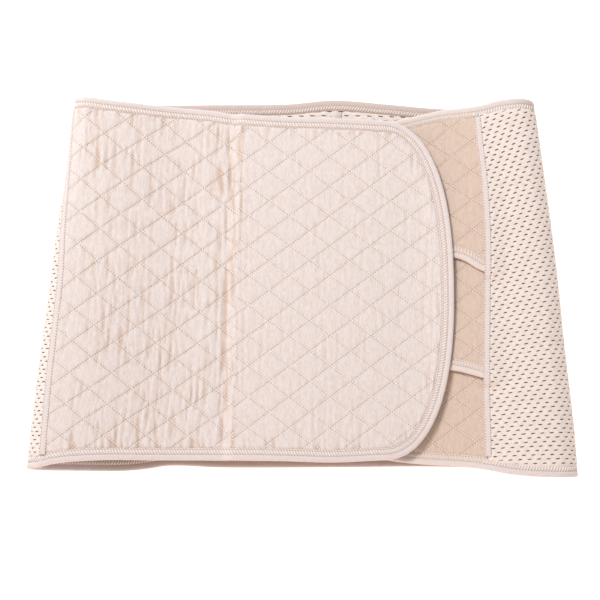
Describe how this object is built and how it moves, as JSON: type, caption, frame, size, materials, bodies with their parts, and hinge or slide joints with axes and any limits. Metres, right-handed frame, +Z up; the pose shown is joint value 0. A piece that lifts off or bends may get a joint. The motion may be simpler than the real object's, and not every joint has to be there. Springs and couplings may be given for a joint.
{
  "type": "abdominal binder",
  "caption": "Wrap-around abdominal binder lying flat and closed: spacer-mesh body, quilted front flap with a rounded end over quilted straps, knit-bound edges.",
  "frame": {"origin": "middle of the binder's outline, on the surface it lies on", "axes": "+X to the right fold as seen from above, +Y towards the waist edge, +Z up from the surface"},
  "size_m": [0.4436, 0.3184, 0.0382],
  "materials": {
    "quilted_cotton": "matt diamond-quilted cotton, heathered pale beige",
    "knit_tape": "smooth matt knit binding tape with coverstitch",
    "spacer_mesh": "knitted spacer mesh with small oval holes",
    "hook_tape": "matt nylon hook tape"
  },
  "bodies": {
    "root": {"mesh_panel": "spacer_mesh", "back_bone_channel": "knit_tape", "panel_top_binding": "knit_tape", "panel_bottom_binding": "knit_tape", "left_seam_tape": "knit_tape", "right_seam_tape": "knit_tape", "front_flap": "quilted_cotton", "flap_binding": "knit_tape", "flap_hook_patch": "hook_tape", "upper_strap": "quilted_cotton", "middle_strap": "quilted_cotton", "lower_strap": "quilted_cotton", "upper_strap_binding": "knit_tape", "middle_strap_binding": "knit_tape", "lower_strap_binding": "knit_tape"}
  },
  "joints": []
}
